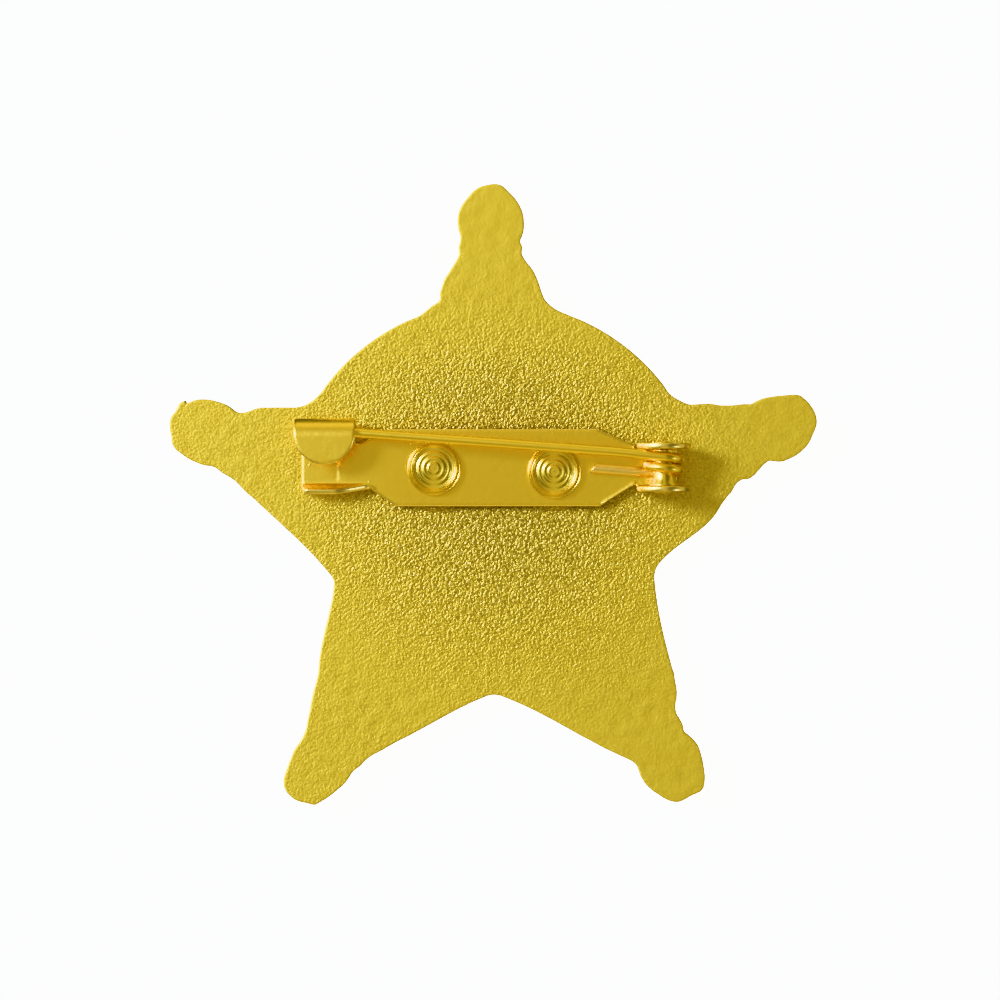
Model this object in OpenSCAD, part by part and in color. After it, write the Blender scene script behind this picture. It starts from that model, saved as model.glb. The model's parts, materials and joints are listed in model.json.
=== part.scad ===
// Five-pointed star badge with ball tips and a riveted bar pin on its back.
// The badge lies face down: the highest relief of the front is at z = 0 and the back is up.
// X runs to the right and Y up the star as its back is seen.
// The origin is under the middle of the outline's box.

/* [Badge body] */
// Thickness of the cast star plate
star_t = 1.9; // [1.6:0.1:2.6]
// Height of the front relief under the star plate
relief_h = 0.9; // [0.7:0.1:1.2]
// Radius of the round medallion on the front
medallion_r = 13; // [11:0.5:13.5]
// Width of the medallion's raised rim
rim_w = 1; // [0.6:0.1:1.6]
// Radius of the domes on the front of the ball tips
dome_r = 2.2; // [1.8:0.1:2.2]
// Radius of the round bosses that carry the bar plate
boss_r = 2.8; // [2.4:0.1:3.4]
// Height of the bosses above the back
boss_h = 0.4; // [0.3:0.05:0.6]

/* [Bar plate] */
// Thickness of the folded sheet
sheet_t = 0.46; // [0.4:0.02:0.5]
// Outer radius of the catch's curl
curl_r = 1.5; // [1.45:0.05:1.6]
// Radius of the catch's half-round tab
tab_r = 2.42; // [2:0.05:2.6]
// Height of the guard flange's arched edge above the sheet's underside
flange_h = 1.7; // [1:0.1:2.2]
// Outward lean of the guard flange, degrees
flange_lean = 14; // [0:1:20]
// Radius of the hinge ears
ear_r = 2.14; // [2:0.02:2.3]
// Clear width between the ears
ear_gap = 2.94; // [2.9:0.02:3]

/* [Rivets] */
// Outer radius of the spun rivet heads
head_r = 2.16; // [1.8:0.02:2.4]
// Radius of the rivet shanks
shank_r = 1.2; // [0.9:0.05:1.4]
// Depth of the shanks below the badge's back
shank_depth = 1.2; // [0.8:0.1:1.4]

/* [Pin wire] */
// Diameter of the pin wire
wire_d = 0.78; // [0.7:0.02:0.8]
// Radius of the coil's centre line
coil_r = 1.31; // [1.3:0.01:1.36]
// Advance of the coil along the hinge in one turn
coil_pitch = 0.875; // [0.86:0.005:0.9]
// Slope of the pin down to the catch, degrees
arm_slope = 3.7; // [3.65:0.05:3.75]
// Length of the needle point
point_len = 4.6; // [4.6:0.1:6]

/* [Hidden] */
$fn = 64;

// Small gap kept between fitted pieces
fit_gap = 0.02;
// Depth to which joined solids of one piece reach into each other
LAP = 0.1;
// Length by which a cutting shape runs past what it cuts
PAST = 1;

// Directions of the five arms, in the order of the columns below: top, left, low left, low right, right
ARM_ANGLE = [90, 162, 234, 306, 378];
// Furthest point of each arm: sideways place, distance from the star's centre
ARM_APEX = [[0.1, 27.05], [0, 27.17], [-0.2, 27.33], [-0.9, 27.12], [-0.2, 27.14]];
// Cross sections of the arms, from tip to root. Each row: distance from the star's centre, then each arm's
// half widths left (L) and right (R) of its axis, looking outward
ARM_SECTIONS = [
    // dist  top L  top R left L left R  low left  low left R  low right L, R    right L  right R
    [27.00, 0.40, 0.45, 0.85, 0.48, 1.12, 1.15, 1.15, 0.05, 1.00, 0.50],
    [26.70, 1.35, 0.92, 1.42, 1.40, 1.75, 1.42, 1.45, 1.38, 1.68, 0.95],
    [26.35, 1.78, 1.25, 2.10, 1.42, 1.92, 1.62, 1.73, 1.72, 2.13, 1.33],
    [26.00, 2.08, 1.60, 2.36, 1.72, 2.07, 1.74, 1.92, 1.93, 2.28, 1.72],
    [25.40, 2.55, 2.02, 2.58, 2.08, 2.30, 1.92, 2.24, 2.18, 2.44, 2.12],
    [24.70, 2.87, 2.32, 2.78, 2.28, 2.48, 2.10, 2.52, 2.42, 2.60, 2.40],
    [24.00, 2.93, 2.42, 2.86, 2.35, 2.64, 2.25, 2.72, 2.53, 2.72, 2.52],
    [23.40, 2.86, 2.40, 2.87, 2.33, 2.66, 2.24, 2.69, 2.48, 2.77, 2.54],
    [22.90, 2.71, 2.25, 2.76, 2.22, 2.62, 2.30, 2.56, 2.33, 2.71, 2.34],
    [22.50, 2.72, 2.10, 2.78, 2.06, 2.70, 2.38, 2.48, 2.24, 2.64, 2.17],
    [22.00, 2.86, 2.28, 2.97, 2.05, 2.85, 2.56, 2.70, 2.32, 2.80, 2.30],
    [21.50, 2.81, 2.24, 3.08, 2.30, 2.90, 2.80, 2.78, 2.58, 2.91, 2.58],
    [20.90, 3.05, 2.55, 3.23, 2.77, 3.08, 3.07, 2.85, 2.92, 3.04, 2.92],
    [20.40, 3.37, 2.95, 3.45, 3.03, 3.32, 3.30, 3.13, 3.20, 3.20, 3.04],
    [20.00, 3.60, 3.22, 3.67, 3.14, 3.52, 3.50, 3.55, 3.42, 3.35, 2.93],
    [19.50, 3.95, 3.45, 3.93, 3.32, 3.74, 3.72, 3.93, 3.67, 3.62, 3.05],
    [18.80, 4.20, 3.70, 4.20, 3.55, 4.06, 3.98, 4.27, 4.00, 3.85, 3.62],
    [18.20, 4.36, 3.90, 4.50, 3.74, 4.37, 4.22, 4.58, 4.30, 4.00, 3.98],
    [17.90, 4.32, 4.03, 4.63, 3.84, 4.53, 4.38, 4.67, 4.45, 4.08, 4.20],
    [17.20, 5.10, 4.70, 4.95, 4.30, 4.87, 4.80, 4.93, 4.77, 4.62, 4.80],
];
// The round body shows between the upper arms: its centre, radius and arcs left and right of the top arm
BODY_CENTRE = [0.08, 0.6];
BODY_R = 17.02;
LEFT_SHOULDER = [111, 145.3];
RIGHT_SHOULDER = [34.5, 69.6];
// Notches between the other arms. Each row: distance from the star's centre, direction, length of its round
LEFT_NOTCH = [13.55, 199.9, 0.5];
LOW_NOTCH = [13.62, 270, 1];
RIGHT_NOTCH = [13.21, 343.5, 1.2];
// Share of a notch's curve, and of a shoulder's arc, between two points of the outline
NOTCH_STEP = 0.25;
SHOULDER_STEP = 0.1;

function polar(r, a) = [r * cos(a), r * sin(a)];
function arm_point(arm, dist, side) =
    polar(dist, ARM_ANGLE[arm]) + side * [sin(ARM_ANGLE[arm]), -cos(ARM_ANGLE[arm])];
function apex(arm) = arm_point(arm, ARM_APEX[arm][1], ARM_APEX[arm][0]);
// Flanks of one arm: the left one runs from tip to root, the right one from root to tip
function left_flank(arm, inset) =
    [for (row = ARM_SECTIONS) arm_point(arm, row[0], -max(row[1 + 2 * arm] - inset, 0))];
function right_flank(arm, inset) =
    [for (i = [len(ARM_SECTIONS) - 1 : -1 : 0])
        arm_point(arm, ARM_SECTIONS[i][0], max(ARM_SECTIONS[i][2 + 2 * arm] - inset, 0))];
function arm_outline(arm) = concat(right_flank(arm, 0), [apex(arm)], left_flank(arm, 0));
function unit(v) = v / norm(v);
// A rounded notch: a quadratic curve between points on the two flanks, one round length from the corner
function notch(n, from, to) =
    let (
        corner = polar(n[0], n[1]),
        a = corner + n[2] * unit(from - corner),
        b = corner + n[2] * unit(to - corner)
    )
    [for (t = [0 : NOTCH_STEP : 1]) (1 - t) * (1 - t) * a + 2 * t * (1 - t) * corner + t * t * b];
function shoulder(arc) =
    [for (t = [0 : SHOULDER_STEP : 1]) BODY_CENTRE + polar(BODY_R, arc[0] + t * (arc[1] - arc[0]))];
function first(list) = list[0];
function last(list) = list[len(list) - 1];

TOP = arm_outline(0);
LEFT = arm_outline(1);
LOW_LEFT = arm_outline(2);
LOW_RIGHT = arm_outline(3);
RIGHT = arm_outline(4);
STAR = concat(
    TOP, shoulder(LEFT_SHOULDER),
    LEFT, notch(LEFT_NOTCH, last(LEFT), first(LOW_LEFT)),
    LOW_LEFT, notch(LOW_NOTCH, last(LOW_LEFT), first(LOW_RIGHT)),
    LOW_RIGHT, notch(RIGHT_NOTCH, last(LOW_RIGHT), first(RIGHT)),
    RIGHT, shoulder(RIGHT_SHOULDER));
STAR_X = [for (p = STAR) p.x];
STAR_Y = [for (p = STAR) p.y];
STAR_MIDDLE = [(min(STAR_X) + max(STAR_X)) / 2, (min(STAR_Y) + max(STAR_Y)) / 2, 0];

// Front relief
MEDALLION_CENTRE = [0.08, 1.6];
PANEL_INSET = 0.9;
PANEL_Z = relief_h - 0.3;
MEDALLION_Z = 0.35;
INNER_RING_R = 8.4;
INNER_RING_W = 0.6;
INNER_RING_Z = 0.12;
DOME_DIST = 24.3;
DOME_SIDE = -0.2;
DOME_Z = 0.1;
DOME_H = relief_h - DOME_Z;
DOME_SPHERE_R = (dome_r * dome_r + DOME_H * DOME_H) / (2 * DOME_H);

// Levels, counted up from the front
BACK_Z = relief_h + star_t;
SHEET_Z = BACK_Z + boss_h + fit_gap;
SHEET_TOP = SHEET_Z + sheet_t;

// Bar plate, seen from above
BAR_Y = 4.34;
NECK_END_X = -15.36;
NECK_Y = [2.66, 6.25];
WIDE_Y = [1.26, 7.42];
WIDE_LOW_X = [-7.85, 8.55];
WIDE_HIGH_X = [-8.5, 8.4];
NECK_LOW_X = -9.9;
NECK_HIGH_X = -10.7;
EAR_START_X = 11.45;
FLOOR_END_X = 14.6;
RIVET_LEFT = [-4.76, 4.28];
RIVET_RIGHT = [4.84, 4.02];
// The bosses sit a little lower than the rivets they carry
BOSS_LEFT = [-4.76, 3.68];
BOSS_RIGHT = [4.84, 3.78];

// Profile of the spun rivet head. Each row: distance inside the head's rim, height above the sheet
HEAD_PROFILE = [
    // in   height
    [0, 0],
    [0, 0.38],
    [0.1, 0.48],
    [0.22, 0.4],
    [0.32, 0.58],
    [0.44, 0.6],
    [0.54, 0.37],
    [0.96, 0.42],
    [1.5, 0.48]
];
// Flat middle of the head's low mound
HEAD_MIDDLE_R = 0.3;
HEAD_MIDDLE_Z = 0.49;

// Catch and guard flange
TAB_CENTRE = [-13.465, 6.98];
CURL_Y = 6.78;
FLANGE_X = [-15.3, -10];
FLANGE_Y = 2.66;

// Hinge, pin and spring
wire_r = wire_d / 2;
HINGE_X = 13.5;
HINGE_Z = SHEET_TOP + coil_r + wire_r + fit_gap;
EAR_Y = [BAR_Y - ear_gap / 2, BAR_Y + ear_gap / 2];
COIL_FREE = 0.04;
BARREL_R = coil_r - wire_r - COIL_FREE;
EAR_BORE_R = 0.56;
PEEN_R = 0.8;
PEEN_H = 0.12;
// Angles along the coil are counted from the top of its first turn, over the side away from the catch
COIL_TOP_Y = 5.17;
COIL_END = 540;
SPRING_CUT = 455;
SPRING_GAP = 2.5;
COIL_STEP = 13;
TUBE_SIDES = 16;
TUBE_R = wire_r - 0.004;
// The swept coil starts this far inside the straight arm
TUBE_LAP = 0.4;
// The arm bends a little sideways here, before it enters the coil
KINK = [10.9, 5.5];
CATCH_POINT = [-13.5, 7.28];
POINT_END_X = -15.45;
POINT_END_R = 0.05;
TAIL_END = [7.9, 4.3];
function arm_z(x) = HINGE_Z + coil_r / cos(arm_slope) - (HINGE_X - x) * tan(arm_slope);
function on_arm(x) =
    let (t = (x - KINK.x) / (CATCH_POINT.x - KINK.x))
    [x, KINK.y + t * (CATCH_POINT.y - KINK.y), arm_z(x)];
function on_coil(a) =
    [HINGE_X + coil_r * sin(a), COIL_TOP_Y - coil_pitch * a / 360, HINGE_Z + coil_r * cos(a)];
function coil(a0, a1) =
    let (n = ceil((a1 - a0) / COIL_STEP))
    [for (i = [0 : n]) on_coil(a0 + (a1 - a0) * i / n)];
function tail_point() = [TAIL_END.x, TAIL_END.y, on_coil(COIL_END).z];

// Puts a piece drawn about the star's centre into the frame
module placed() {
    translate(-STAR_MIDDLE) children();
}

// Straight rod between two points, r1 at the first and r2 at the second
module rod(p, q, r1, r2) {
    d = q - p;
    translate(p) rotate([0, acos(d.z / norm(d)), atan2(d.y, d.x)]) cylinder(h = norm(d), r1 = r1, r2 = r2);
}

// Round wire of radius r swept along a list of points that never turns towards Y
module tube(path, r) {
    n = len(path);
    rings = [for (i = [0 : n - 1])
        let (
            t = unit(path[min(i + 1, n - 1)] - path[max(i - 1, 0)]),
            u = unit(cross([0, 1, 0], t)),
            v = cross(t, u)
        )
        for (k = [0 : TUBE_SIDES - 1])
            path[i] + r * (cos(k * 360 / TUBE_SIDES) * u + sin(k * 360 / TUBE_SIDES) * v)];
    walls = [for (i = [0 : n - 2]) for (k = [0 : TUBE_SIDES - 1])
        let (a = i * TUBE_SIDES + k, b = i * TUBE_SIDES + (k + 1) % TUBE_SIDES)
        [a, a + TUBE_SIDES, b + TUBE_SIDES, b]];
    start = [for (k = [0 : TUBE_SIDES - 1]) k];
    end = [for (k = [TUBE_SIDES - 1 : -1 : 0]) (n - 1) * TUBE_SIDES + k];
    polyhedron(points = rings, faces = concat([start], walls, [end]));
}

module ring(r_out, width, z0, z1) {
    translate([MEDALLION_CENTRE.x, MEDALLION_CENTRE.y, z0]) difference() {
        cylinder(h = z1 - z0, r = r_out);
        translate([0, 0, -PAST]) cylinder(h = z1 - z0 + 2 * PAST, r = r_out - width);
    }
}

// Raised panel on one arm of the front
module arm_panel(arm) {
    translate([0, 0, PANEL_Z]) linear_extrude(relief_h - PANEL_Z + LAP)
        polygon(concat([[0, 0]], right_flank(arm, PANEL_INSET), left_flank(arm, PANEL_INSET)));
}

// Domed front of one ball tip
module dome(arm) {
    at = arm_point(arm, DOME_DIST, DOME_SIDE);
    translate([at.x, at.y, 0]) intersection() {
        translate([0, 0, DOME_Z + DOME_SPHERE_R]) sphere(r = DOME_SPHERE_R);
        cylinder(h = relief_h + LAP, r = dome_r);
    }
}

module badge_body() {
    color("goldenrod") placed() difference() {
        union() {
            translate([0, 0, relief_h]) linear_extrude(star_t) polygon(STAR);
            for (arm = [0 : 4]) {
                arm_panel(arm);
                dome(arm);
            }
            translate([MEDALLION_CENTRE.x, MEDALLION_CENTRE.y, MEDALLION_Z])
                cylinder(h = relief_h - MEDALLION_Z + LAP, r = medallion_r);
            ring(medallion_r, rim_w, 0, relief_h);
            ring(INNER_RING_R, INNER_RING_W, INNER_RING_Z, relief_h);
            for (c = [BOSS_LEFT, BOSS_RIGHT])
                translate([c.x, c.y, BACK_Z - LAP]) cylinder(h = boss_h + LAP, r = boss_r);
        }
        for (c = [RIVET_LEFT, RIVET_RIGHT])
            translate([c.x, c.y, BACK_Z - shank_depth - fit_gap])
                cylinder(h = shank_depth + boss_h + PAST, r = shank_r + fit_gap);
    }
}

module sheet_outline() {
    polygon([
        [NECK_END_X, NECK_Y[0]], [NECK_LOW_X, NECK_Y[0]],
        [WIDE_LOW_X[0], WIDE_Y[0]], [WIDE_LOW_X[1], WIDE_Y[0]],
        [EAR_START_X, EAR_Y[0]], [EAR_START_X, EAR_Y[0] - sheet_t],
        [FLOOR_END_X, EAR_Y[0] - sheet_t],
        [FLOOR_END_X, EAR_Y[1] + sheet_t], [EAR_START_X, EAR_Y[1] + sheet_t],
        [WIDE_HIGH_X[1], WIDE_Y[1]], [WIDE_HIGH_X[0], WIDE_Y[1]],
        [NECK_HIGH_X, NECK_Y[1]], [NECK_END_X, NECK_Y[1]]
    ]);
}

// The sheet leaves the neck, curls up over the pin and comes back as a half-round tab
module catch_hook() {
    low_x = TAB_CENTRE.x - tab_r;
    translate([low_x, 0, SHEET_Z]) rotate([90, 0, 90]) linear_extrude(2 * tab_r) {
        translate([NECK_Y[1] - LAP, 0]) square([CURL_Y - NECK_Y[1] + LAP, sheet_t]);
        difference() {
            translate([CURL_Y, curl_r]) circle(r = curl_r);
            translate([CURL_Y, curl_r]) circle(r = curl_r - sheet_t);
            translate([CURL_Y - 2 * curl_r, 0]) square([2 * curl_r, 2 * curl_r]);
        }
    }
    translate([0, 0, SHEET_Z + 2 * curl_r - sheet_t]) intersection() {
        union() {
            translate([TAB_CENTRE.x, TAB_CENTRE.y, 0]) cylinder(h = sheet_t, r = tab_r);
            translate([low_x, TAB_CENTRE.y, 0]) cube([2 * tab_r, tab_r, sheet_t]);
        }
        translate([low_x, 0, 0]) cube([2 * tab_r, CURL_Y, sheet_t]);
    }
}

// Arched flange that guards the pin's point below the neck
module guard_flange() {
    chord = FLANGE_X[1] - FLANGE_X[0];
    arch_r = (chord * chord / 4 + flange_h * flange_h) / (2 * flange_h);
    translate([(FLANGE_X[0] + FLANGE_X[1]) / 2, FLANGE_Y, SHEET_Z])
        rotate([flange_lean, 0, 0]) intersection() {
            translate([0, sheet_t, flange_h - arch_r]) rotate([90, 0, 0]) cylinder(h = sheet_t, r = arch_r);
            translate([-chord / 2, 0, 0]) cube([chord, sheet_t, flange_h]);
        }
}

module ear(y0) {
    translate([HINGE_X, y0 + sheet_t, HINGE_Z]) rotate([90, 0, 0]) cylinder(h = sheet_t, r = ear_r);
    translate([HINGE_X - ear_r, y0, SHEET_Z])
        cube([FLOOR_END_X - HINGE_X + ear_r, sheet_t, HINGE_Z - SHEET_Z]);
}

module bar_plate() {
    color("gold") placed() difference() {
        union() {
            translate([0, 0, SHEET_Z]) linear_extrude(sheet_t) sheet_outline();
            catch_hook();
            guard_flange();
            ear(EAR_Y[0] - sheet_t);
            ear(EAR_Y[1]);
        }
        for (c = [RIVET_LEFT, RIVET_RIGHT])
            translate([c.x, c.y, SHEET_Z - PAST]) cylinder(h = sheet_t + 2 * PAST, r = shank_r + fit_gap);
        translate([HINGE_X, BAR_Y + ear_gap, HINGE_Z]) rotate([90, 0, 0])
            cylinder(h = 2 * ear_gap, r = EAR_BORE_R + fit_gap);
    }
}

// Spun rivet: a shank and a head with a raised rim, an inner ring and a low mound in the middle
module rivet(at) {
    head_z = SHEET_TOP + fit_gap;
    color("gold") placed() translate([at.x, at.y, 0]) {
        translate([0, 0, BACK_Z - shank_depth])
            cylinder(h = head_z - BACK_Z + shank_depth + LAP, r = shank_r);
        translate([0, 0, head_z]) rotate_extrude() polygon(concat(
            [[0, 0]],
            [for (p = HEAD_PROFILE) [head_r - p[0], p[1]]],
            [[HEAD_MIDDLE_R, HEAD_MIDDLE_Z], [0, HEAD_MIDDLE_Z]]));
    }
}

module rivet_left() {
    rivet(RIVET_LEFT);
}

module rivet_right() {
    rivet(RIVET_RIGHT);
}

// Rivet with a thick barrel between the ears and a peened end outside each
module hinge_rivet() {
    barrel_l = ear_gap - 2 * fit_gap;
    outer_l = ear_gap + 2 * sheet_t + 2 * fit_gap;
    color("gold") placed() translate([HINGE_X, BAR_Y, HINGE_Z]) rotate([90, 0, 0]) {
        cylinder(h = barrel_l, r = BARREL_R, center = true);
        cylinder(h = outer_l + PEEN_H, r = EAR_BORE_R, center = true);
        for (end = [0, 1])
            mirror([0, 0, end]) translate([0, 0, outer_l / 2])
                cylinder(h = PEEN_H, r1 = PEEN_R, r2 = EAR_BORE_R);
    }
}

// The end of the wire: the coil's last stretch under the hinge and the tail that lies on the plate
module spring_tail() {
    color("gold") placed()
        tube(concat(coil(SPRING_CUT + SPRING_GAP, COIL_END), [tail_point()]), TUBE_R);
}

// The pin: needle point, straight arm, a slight bend, then a turn and a quarter round the hinge
module pin_arm() {
    wall_end = on_arm(POINT_END_X + point_len);
    kink = on_arm(KINK.x);
    color("gold") placed() {
        rod(on_arm(POINT_END_X), wall_end, POINT_END_R, wire_r);
        rod(wall_end, kink, wire_r, wire_r);
        tube(concat([on_arm(KINK.x - TUBE_LAP), kink], coil(-arm_slope, SPRING_CUT)), TUBE_R);
    }
}

badge_body();
bar_plate();
rivet_left();
rivet_right();
hinge_rivet();
spring_tail();
pin_arm();
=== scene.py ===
import json
import math

import bpy
import numpy as np
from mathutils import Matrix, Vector
from mathutils.geometry import delaunay_2d_cdt


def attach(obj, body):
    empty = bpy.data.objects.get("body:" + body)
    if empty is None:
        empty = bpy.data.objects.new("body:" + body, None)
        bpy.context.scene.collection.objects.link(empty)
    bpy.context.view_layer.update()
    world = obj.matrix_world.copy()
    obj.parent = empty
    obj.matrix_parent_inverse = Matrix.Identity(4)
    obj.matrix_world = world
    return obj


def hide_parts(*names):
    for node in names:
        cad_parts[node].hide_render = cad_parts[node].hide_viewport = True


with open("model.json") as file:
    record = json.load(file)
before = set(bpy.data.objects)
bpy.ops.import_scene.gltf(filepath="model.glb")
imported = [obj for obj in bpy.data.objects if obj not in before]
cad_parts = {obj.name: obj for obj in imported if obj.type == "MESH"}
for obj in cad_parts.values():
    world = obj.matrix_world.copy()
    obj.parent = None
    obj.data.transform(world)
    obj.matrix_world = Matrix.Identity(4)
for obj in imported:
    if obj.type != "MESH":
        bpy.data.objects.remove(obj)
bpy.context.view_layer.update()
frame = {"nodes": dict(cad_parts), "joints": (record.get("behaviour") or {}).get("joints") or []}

# The looks of a five-pointed star badge that lies face down, with a riveted brooch pin on its back.
# Shapes are worked out in millimetres about the star's centre, as in the part's source, and put_piece
# moves them into the frame. The back faces up, X runs to the right and Y up the star.
MM = 0.001
HINGE = np.array([13.5, 4.34, 5.40])
FRAME_SHIFT = np.array(frame["joints"][0]["pos_m"]) / MM - HINGE

# Levels above the floor, mm
FRONT_Z = 0.90
BACK_Z = 2.80
BOSS_Z = 3.20
SHEET_Z = 3.22
SHEET_T = 0.46
SHEET_TOP = SHEET_Z + SHEET_T
SHEET_MID = SHEET_Z + SHEET_T / 2
RIVETS = {"rivet_left": (-4.76, 4.28), "rivet_right": (4.84, 4.02)}
BOSSES = [(-4.76, 3.68), (4.84, 3.78)]
BOSS_R = 2.8


# ---- Tools for shapes ----

def on_circle(centre, radius, degrees):
    """Points centre + radius (cos a, sin a), for angles a in degrees."""
    a = np.radians(degrees)
    return np.stack([centre[0] + radius * np.cos(a), centre[1] + radius * np.sin(a)], -1)


def ease(x, low, high):
    """Smooth step from 0 at low to 1 at high: t t (3 - 2 t)."""
    t = np.clip((x - low) / (high - low), 0, 1)
    return t * t * (3 - 2 * t)


def unit(v):
    return v / np.linalg.norm(v, axis=-1, keepdims=True)


def even_loop(corners, spacing, blur, curved=False):
    """Closed line through corners, cut at equal lengths and blurred along its length by a Gaussian of width
    blur, which rounds its corners. Between two corners it is straight, or a cubic whose tangents are the mean
    of the two chords at each corner, each weighted by the other chord's length."""
    start, end = corners, np.roll(corners, -1, 0)
    length = np.linalg.norm(end - start, axis=1, keepdims=True)
    slope = (end - start) / length
    before, slope_before = np.roll(length, 1, 0), np.roll(slope, 1, 0)
    tangent = (slope_before * length + slope * before) / (length + before)
    t = np.linspace(0, 1, 24, endpoint=False)[None, :, None]
    if curved:
        fine = ((1 + 2 * t) * (1 - t) ** 2 * start[:, None] + t * t * (3 - 2 * t) * end[:, None]
                + length[:, None] * (t * (1 - t) ** 2 * tangent[:, None]
                                     - t * t * (1 - t) * np.roll(tangent, -1, 0)[:, None]))
    else:
        fine = (1 - t) * start[:, None] + t * end[:, None]
    fine = fine.reshape(-1, 2)
    closed = np.vstack([fine, fine[:1]])
    along = np.concatenate([[0], np.cumsum(np.linalg.norm(np.diff(closed, axis=0), axis=1))])
    count = int(round(along[-1] / spacing))
    at = np.arange(count) * along[-1] / count
    even = np.stack([np.interp(at, along, closed[:, k]) for k in (0, 1)], 1)
    waves = np.fft.rfftfreq(count, along[-1] / count)
    damp = np.exp(-2 * (np.pi * blur * waves) ** 2)[:, None]
    return np.fft.irfft(np.fft.rfft(even, axis=0) * damp, count, axis=0)


def inward(loop):
    """Unit normals to the left of a closed line, so towards the material when the line goes round it
    anticlockwise."""
    t = unit(np.roll(loop, -1, 0) - np.roll(loop, 1, 0))
    return np.stack([-t[:, 1], t[:, 0]], 1)


def depth_inside(points, loops):
    """Distance of each point from the nearest loop point, measured along that point's inward normal where it is
    close, and negative outside."""
    edge, normal = np.vstack(loops), np.vstack([inward(loop) for loop in loops])
    depth = np.empty(len(points))
    for part in np.array_split(np.arange(len(points)), len(points) // 4000 + 1):
        gap = points[part, None] - edge[None]
        square = (gap ** 2).sum(2)
        near = square.argmin(1)
        side = (gap[np.arange(len(part)), near] * normal[near]).sum(1)
        depth[part] = np.sqrt(square.min(1)) * np.sign(side)
    return depth


def waves(points, longest, shortest, count, seed):
    """Sum of count level waves in random directions, their lengths between the two given in mm, scaled to a
    root mean square of 1. It looks like the uneven skin of a casting."""
    rng = np.random.default_rng(seed)
    angle, phase = rng.uniform(0, 2 * np.pi, (2, count))
    k = 2 * np.pi / rng.uniform(shortest, longest, count)
    total = np.zeros(len(points))
    for kx, ky, shift in zip(k * np.cos(angle), k * np.sin(angle), phase):
        total += np.cos(kx * points[:, 0] + ky * points[:, 1] + shift)
    return total * math.sqrt(2 / count)


def staggered_grid(low, high, spacing):
    """Points in rows, each row half a step along from the last, as in a brick wall."""
    y = np.arange(low[1], high[1], spacing * 0.866)
    x = np.arange(low[0], high[0], spacing)
    gx, gy = np.meshgrid(x, y)
    gx = gx + (np.arange(len(y)) % 2)[:, None] * spacing / 2
    return np.stack([gx.ravel(), gy.ravel()], 1)


def net(loops, inside):
    """Triangles over the area within closed loops, with the given points inside it: a Delaunay net that keeps
    the loops' edges. Returns points, loops first, and triangles that turn anticlockwise. Holes stay open, and of
    points that fall together one is kept."""
    points = np.vstack(loops + [np.unique(np.round(inside, 3), axis=0)])
    first = np.cumsum([0] + [len(loop) for loop in loops])
    edges = [(int(a + i), int(a + (i + 1) % (b - a))) for a, b in zip(first, first[1:]) for i in range(b - a)]
    made = delaunay_2d_cdt([Vector(p) for p in points.tolist()], edges, [], 1, 1e-7)
    triangles = np.array(made[2])
    for a, b in zip(first[1:], first[2:]):
        triangles = triangles[~((triangles >= a) & (triangles < b)).all(1)]
    p, q, r = (points[triangles[:, k]] for k in range(3))
    turn = (q[:, 0] - p[:, 0]) * (r[:, 1] - p[:, 1]) - (q[:, 1] - p[:, 1]) * (r[:, 0] - p[:, 0])
    triangles[turn < 0] = triangles[turn < 0][:, ::-1]
    return points, triangles


def joined_rings(rings):
    """Quads between each ring of vertex numbers and the next, closed round."""
    a, b = rings[:-1], rings[1:]
    return np.stack([a, b, np.roll(b, -1, 1), np.roll(a, -1, 1)], -1).reshape(-1, 4)


def put_piece(name, points, quads, triangles, body, material, replaced, values=None):
    """A smooth-shaded mesh piece from arrays of points in mm and faces, riding on a body. values are
    named numbers per vertex that its material reads."""
    mesh = bpy.data.meshes.new(name)
    place = (points + FRAME_SHIFT) * MM
    corners = np.concatenate([quads.ravel(), triangles.ravel()]).astype(np.int32)
    starts = np.concatenate([np.arange(len(quads)) * 4, len(quads) * 4 + np.arange(len(triangles)) * 3])
    mesh.vertices.add(len(place))
    mesh.vertices.foreach_set("co", place.astype(np.float32).ravel())
    mesh.loops.add(len(corners))
    mesh.loops.foreach_set("vertex_index", corners)
    mesh.polygons.add(len(starts))
    mesh.polygons.foreach_set("loop_start", starts.astype(np.int32))
    mesh.polygons.foreach_set("use_smooth", np.ones(len(starts), bool))
    mesh.update(calc_edges=True)
    for key, value in (values or {}).items():
        mesh.attributes.new(key, "FLOAT", "POINT").data.foreach_set("value", value.astype(np.float32))
    mesh.materials.append(material)
    piece = bpy.data.objects.new(name, mesh)
    bpy.context.scene.collection.objects.link(piece)
    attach(piece, body)
    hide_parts(replaced)
    return piece


# ---- Materials ----

def linear(code):
    """Linear colour of an sRGB hex code."""
    c = np.array([int(code[i:i + 2], 16) for i in (1, 3, 5)]) / 255
    return (*np.where(c <= 0.04045, c / 12.92, ((c + 0.055) / 1.055) ** 2.4).tolist(), 1.0)


def add(tree, kind, settings=None, **sockets):
    """Adds a node. settings are its own properties. sockets are its inputs by name, spaces as _, or by number
    as in_0: a value, or a pair (node, output) to link."""
    node = tree.nodes.new(kind)
    for key, value in (settings or {}).items():
        setattr(node, key, value)
    for key, value in sockets.items():
        socket = node.inputs[int(key[3:]) if key.startswith("in_") else key.replace("_", " ")]
        if isinstance(value, tuple) and isinstance(value[0], bpy.types.Node):
            tree.links.new(value[0].outputs[value[1]], socket)
        else:
            socket.default_value = value
    return node


def start_material(name):
    """An empty material with its node tree, and a Mapping node that gives object coordinates in mm."""
    material = bpy.data.materials.new(name)
    material.use_nodes = True
    tree = material.node_tree
    tree.nodes.clear()
    place = add(tree, "ShaderNodeTexCoord")
    mm = add(tree, "ShaderNodeMapping", Vector=(place, "Object"), Scale=(1 / MM, 1 / MM, 1 / MM))
    return material, tree, (mm, "Vector")


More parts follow.
